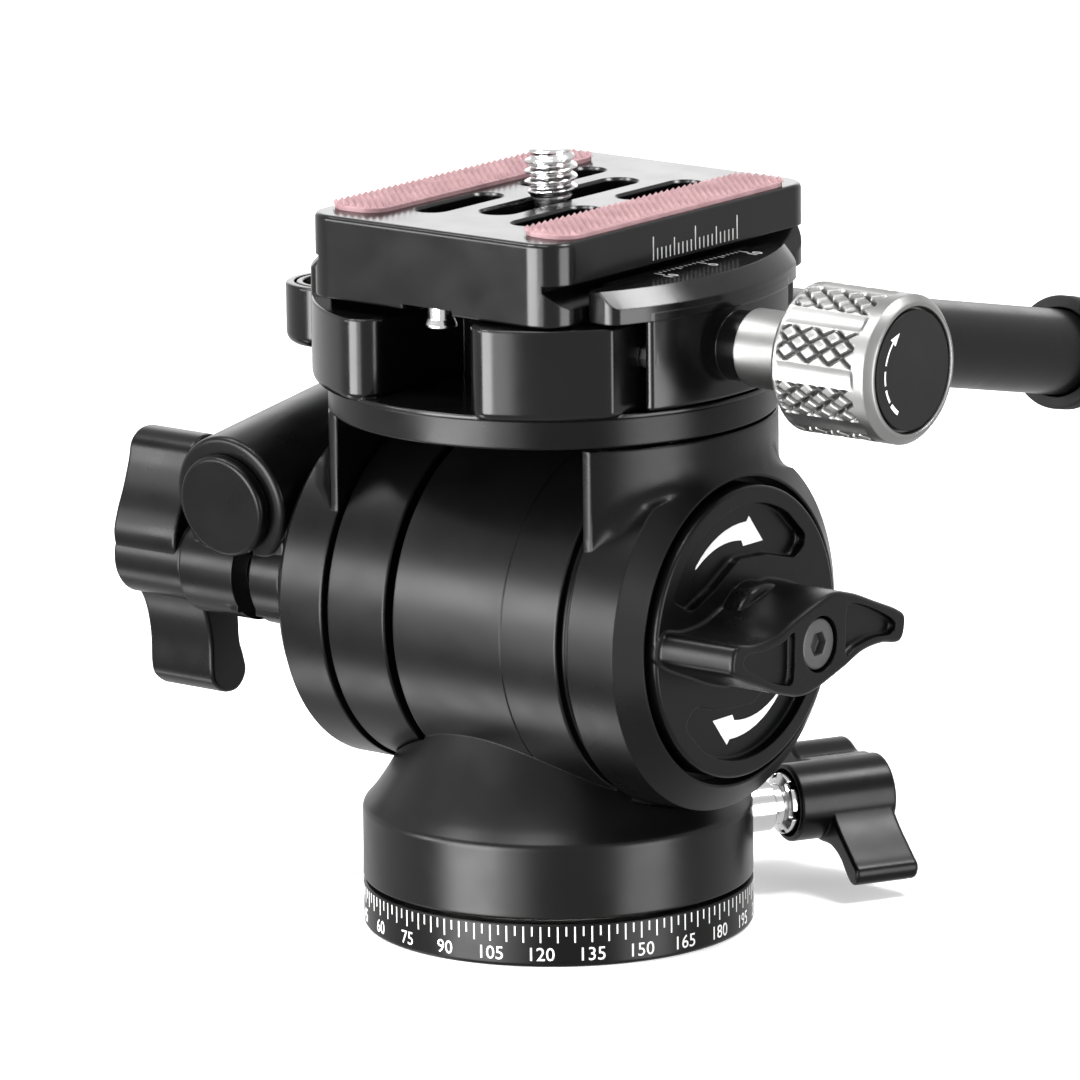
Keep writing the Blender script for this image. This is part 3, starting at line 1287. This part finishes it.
def handle_clamp():
    bottom = 36.0
    rise = SLEEVE_Z - bottom
    reach = 8.0
    flank = [(SLEEVE_X - u * reach, bottom + v * rise) for u, v in FLANK_SHARES]
    outline = cornered(flank[:-1], 0.0) + [(*flank[-1], 0.6), (-28.0, bottom, 1.6), (-28.0, SLEEVE_Z, 0)]
    front = SLEEVE_Y + SLEEVE_RADIUS * math.sin(math.radians(SLOPE))
    foot = prism(outline, -front - 12.4, -front, 0.35, 0.35).at(FRONT)
    boss = drum(6.2, -43.9, -28.0, 0.4, EDGE, ROUND)
    sleeve = drum(SLEEVE_RADIUS, 0, SLEEVE_LENGTH, 0.7, 0.7)
    bore = rod(SLEEVE_BORE, -5, 40, WHEEL).at(ALONG_SLEEVE)
    split = box(SLEEVE_X, SLEEVE_X + 2.8, -40, 30, 20, SLEEVE_Z)
    hole = rod(3.2, -60, 0).at(ON_PIVOT)
    body = cut(fused(sleeve.at(ALONG_SLEEVE), foot, boss.at(ON_PIVOT)), bore, split, hole)
    piece("handle_sleeve", body, BLACK, "handle_bracket", ["handle_clamp"])


HANDLE_WING_SHARES = [
    (0.17, 0.84), (0.02, 0.86), (-0.09, 0.79), (-0.13, 0.65), (-0.19, 0.48), (-0.26, 0.32), (-0.3, 0.16),
    (-0.25, 0), (-0.13, -0.16), (0.01, -0.37), (0.07, -0.6), (0.08, -0.85), (0.13, -0.94), (0.24, -1),
    (0.37, -0.99), (0.45, -0.89), (0.43, -0.77), (0.39, -0.65), (0.38, -0.49), (0.36, -0.3), (0.32, -0.1),
    (0.33, 0.08), (0.29, 0.3), (0.21, 0.5), (0.23, 0.68)]
HANDLE_WING_REACH = 17.6


def handle_wing():
    hub = drum(5.2, -55, -44.2, 0.5, 0.5, ROUND)
    outline = smooth_loop(scaled(HANDLE_WING_SHARES, HANDLE_WING_REACH), 5)
    wing = prism(outline, -55, -45, 0.6, 0.45)
    bore = rod(3.2, -50.5, -40)
    piece("handle_wing", cut(fused(hub, wing), bore).at(ON_PIVOT), BLACK, "handle_lock", ["handle_wing_knob"])


# Handle tube and grip

BEND_ALONG = 74.3
BEND_ANGLE = 20.1
BEND_RUN = 6.0
ROD_LENGTH = 186.0
GRIP_START = 101.0
GRIP_LENGTH = 90.0
GRIP_RADIUS = 7.0
RING_PITCH = 3.0


def handle_rows(radii, sides=ROUND):
    """Rings of points along the bent tube, one for each (distance, radius)."""
    out = math.radians(BEND_ANGLE)
    corner = Vector((0, BEND_ALONG, 0))
    ahead = Vector((0, math.cos(out), -math.sin(out)))
    rows = []
    for distance, radius in radii:
        u = distance - (BEND_ALONG - BEND_RUN)
        if u <= 0:
            centre, lean = Vector((0, distance, 0)), 0.0
        elif u >= 2 * BEND_RUN:
            centre, lean = corner + ahead * (u - BEND_RUN), out
        else:
            t = u / (2 * BEND_RUN)
            a, b, c = Vector((0, BEND_ALONG - BEND_RUN, 0)), corner, corner + ahead * BEND_RUN
            centre = a * (1 - t) ** 2 + b * 2 * t * (1 - t) + c * t * t
            lean = math.atan2(-(ahead.z * t), (1 - t) + ahead.y * t)
        up = Vector((0, math.sin(lean), math.cos(lean)))
        side = Vector((1, 0, 0))
        rows.append([centre + side * (radius * math.cos(2 * math.pi * i / sides))
                     + up * (radius * math.sin(2 * math.pi * i / sides)) for i in range(sides)])
    return rows


def handle():
    end = BEND_ALONG + ROD_LENGTH
    along = [0.3] + [BEND_ALONG - BEND_RUN + k for k in range(0, 13)] + [end - 0.4, end]
    outer = [(0.0, TUBE_RADIUS - 0.3)] + [(d, TUBE_RADIUS) for d in along[:-1]] + [(end, TUBE_RADIUS - 0.3)]
    inner = [(d, TUBE_RADIUS - 1.25) for d in reversed([0.0] + along[1:])]
    piece("handle_rod", grid(handle_rows(outer + inner), closed_rows=True).at(HANDLE_PLACE), BLACK, "handle",
          ["handle_tube"])
    cap = turned([(0, -1.8), (6.3, -1.8, 0.55), (6.3, -0.3, 0.2), (4.2, -0.3), (4.2, 8.0), (0, 8.0)], 0.2)
    piece("handle_front_cap", cap.at(ALONG_SLEEVE), BLACK, "handle_slider", ["tube_end_cap"])


def grip():
    start = BEND_ALONG + GRIP_START
    end = start + GRIP_LENGTH
    radii = [(start, SLEEVE_BORE), (start, 7.25), (start + 0.12, 7.5), (start + 0.4, 7.65),
             (start + 2.6, 7.65), (start + 2.9, 7.5), (start + 3.3, GRIP_RADIUS)]
    for k in range(int((GRIP_LENGTH - 10) / RING_PITCH)):
        at = start + 5 + k * RING_PITCH
        radii += [(at, GRIP_RADIUS), (at + 0.25, 6.75), (at + 0.75, 6.75), (at + 1.0, GRIP_RADIUS)]
    radii += [(end - 0.3, GRIP_RADIUS), (end, 6.7), (end, SLEEVE_BORE)]
    piece("handle_grip_sleeve", grid(handle_rows(radii), closed_rows=True).at(HANDLE_PLACE), GRIP, "handle",
          ["handle_grip"])
    cap = [(end + 0.3, 0.0), (end + 0.3, 6.6), (end + 0.6, GRIP_RADIUS), (end + 2.2, GRIP_RADIUS),
           (end + 2.8, 6.6), (end + 3.0, 5.8), (end + 3.0, 0.0)]
    piece("handle_grip_end", grid(handle_rows(cap)).at(HANDLE_PLACE), GRIP, "handle", ["grip_end_cap"])


# Inner pieces keep their CAD shape

CARRIED = {
    "pan_washer": NYLON, "pan_retainer": STEEL, "pan_spindle": STEEL, "pan_lock_pad": NYLON,
    "left_bush": BRASS, "right_bush": BRASS, "damper_housing": STEEL, "damper_lid": STEEL,
    "damper_rotor": NYLON, "tilt_axle": STEEL, "friction_disc": NYLON, "jaw_spring": STEEL,
    "guide_pin_front": STEEL, "guide_pin_rear": STEEL, "clamp_screw": STEEL, "screw_washer": STEEL,
    "handle_stud": STEEL, "handle_washer": STEEL}


def carried_pieces():
    for name, material in CARRIED.items():
        mesh = frame["nodes"][name].data
        mesh.materials.clear()
        mesh.materials.append(material)


# Studio: floor, world, lights and camera

def floor():
    made = temporary(box(-1200, 1200, -1200, 1200, -10, 0))
    made.name = "floor"
    made.data.transform(Matrix.Scale(MM, 4))
    material, tree, shader, place = graph_of("pale_floor")
    tree.links.new(tinted(tree, noise(tree, place, 6.0), (0.9, 0.9, 0.9), (0.93, 0.93, 0.93)),
                   shader.inputs["Base Color"])
    tree.links.new(spread(tree, noise(tree, place, 9.0), 0.75, 0.85), shader.inputs["Roughness"])
    shader.inputs["Specular IOR Level"].default_value = 0.0
    ray = tree.nodes.new("ShaderNodeLightPath")
    lift = tree.nodes.new("ShaderNodeMath")
    lift.operation = "MULTIPLY"
    lift.inputs[1].default_value = 0.35
    tree.links.new(ray.outputs["Is Camera Ray"], lift.inputs[0])
    tree.links.new(lift.outputs[0], shader.inputs["Emission Strength"])
    shader.inputs["Emission Color"].default_value = (1, 1, 1, 1)
    made.data.materials.append(material)
    made.visible_glossy = False


def world():
    sky = bpy.data.worlds.new("studio")
    scene.world = sky
    sky.use_nodes = True
    tree = sky.node_tree
    background = tree.nodes["Background"]
    ray = tree.nodes.new("ShaderNodeLightPath")
    seen = larger(tree, ray.outputs["Is Camera Ray"], ray.outputs["Is Glossy Ray"])
    seen = larger(tree, seen, ray.outputs["Is Transmission Ray"])
    tree.links.new(ranged(tree, seen, 0.0, 1.0, 0.3, 1.0), background.inputs["Strength"])
    background.inputs["Color"].default_value = (1, 1, 1, 1)


def direction(azimuth, elevation):
    """The way from the head to a place, by its azimuth from -Y and its elevation in degrees."""
    a, e = math.radians(azimuth), math.radians(elevation)
    return Vector((math.sin(a) * math.cos(e), -math.cos(a) * math.cos(e), math.sin(e)))


def softbox(name, azimuth, elevation, distance, width, height, radiance):
    """A rectangular lamp that faces the head, seen from it at an azimuth and elevation."""
    away = direction(azimuth, elevation)
    lamp = bpy.data.lights.new(name, "AREA")
    lamp.shape = "RECTANGLE"
    lamp.size = width * MM
    lamp.size_y = height * MM
    lamp.energy = radiance * math.pi * lamp.size * lamp.size_y
    made = bpy.data.objects.new(name, lamp)
    made.location = (Vector((0, 0, 50)) + away * distance) * MM
    made.rotation_euler = away.to_track_quat("Z", "Y").to_euler()
    made.visible_camera = False
    scene.collection.objects.link(made)


def lights():
    softbox("front_window", -13, -3, 900, 540, 620, 25.0)
    softbox("front_fade", 12, -3, 900, 220, 620, 8.0)
    softbox("left_band", -42, 7, 900, 260, 240, 20.0)
    softbox("low_band", -57, -44, 900, 260, 200, 8.0)
    softbox("right_window", 91, -5, 900, 500, 620, 10.0)
    softbox("left_top", -57, 58, 900, 260, 260, 30.0)
    softbox("right_top", 129, 60, 900, 260, 260, 34.0)
    softbox("top_window", 2, 72, 900, 320, 180, 24.0)
    softbox("back_window", 218, 18, 1000, 900, 420, 1.7)


LENS = 333.2
CAMERA_PLACE = (720.65, -916.80, 312.17)
CAMERA_ROLL = -0.659
CAMERA_AZIMUTH = 38.257
CAMERA_ELEVATION = 12.828


def camera():
    lens = bpy.data.cameras.new("camera")
    lens.lens = LENS
    lens.sensor_width = 36.0
    lens.clip_end = 10.0
    made = bpy.data.objects.new("camera", lens)
    a = math.radians(CAMERA_AZIMUTH)
    back = direction(CAMERA_AZIMUTH, CAMERA_ELEVATION)
    right = Vector((math.cos(a), math.sin(a), 0))
    up = back.cross(right)
    r = math.radians(CAMERA_ROLL)
    rolled_right = right * math.cos(r) + up * math.sin(r)
    rolled_up = up * math.cos(r) - right * math.sin(r)
    axes = Matrix((rolled_right, rolled_up, back)).transposed().to_4x4()
    made.matrix_world = Matrix.Translation(Vector(CAMERA_PLACE) * MM) @ axes
    scene.collection.objects.link(made)
    scene.camera = made


camera()
floor()
world()
lights()
scale_ring()
scale_ticks()
scale_numbers()
tripod_bush()
dome_and_drum()
drum_cover()
pan_lock()
yoke()
tilt_knob()
dial_arrows()
clamp_base()
mount_screws()
clamp_jaw()
jaw_marks()
clamp_knob()
inlay_arrow()
level()
plate()
plate_ticks()
pad("pad_left", -1)
pad("pad_right", 1)
plate_screws()
camera_screw()
handle_clamp()
handle_wing()
handle()
grip()
carried_pieces()

scene.view_settings.view_transform = "Standard"
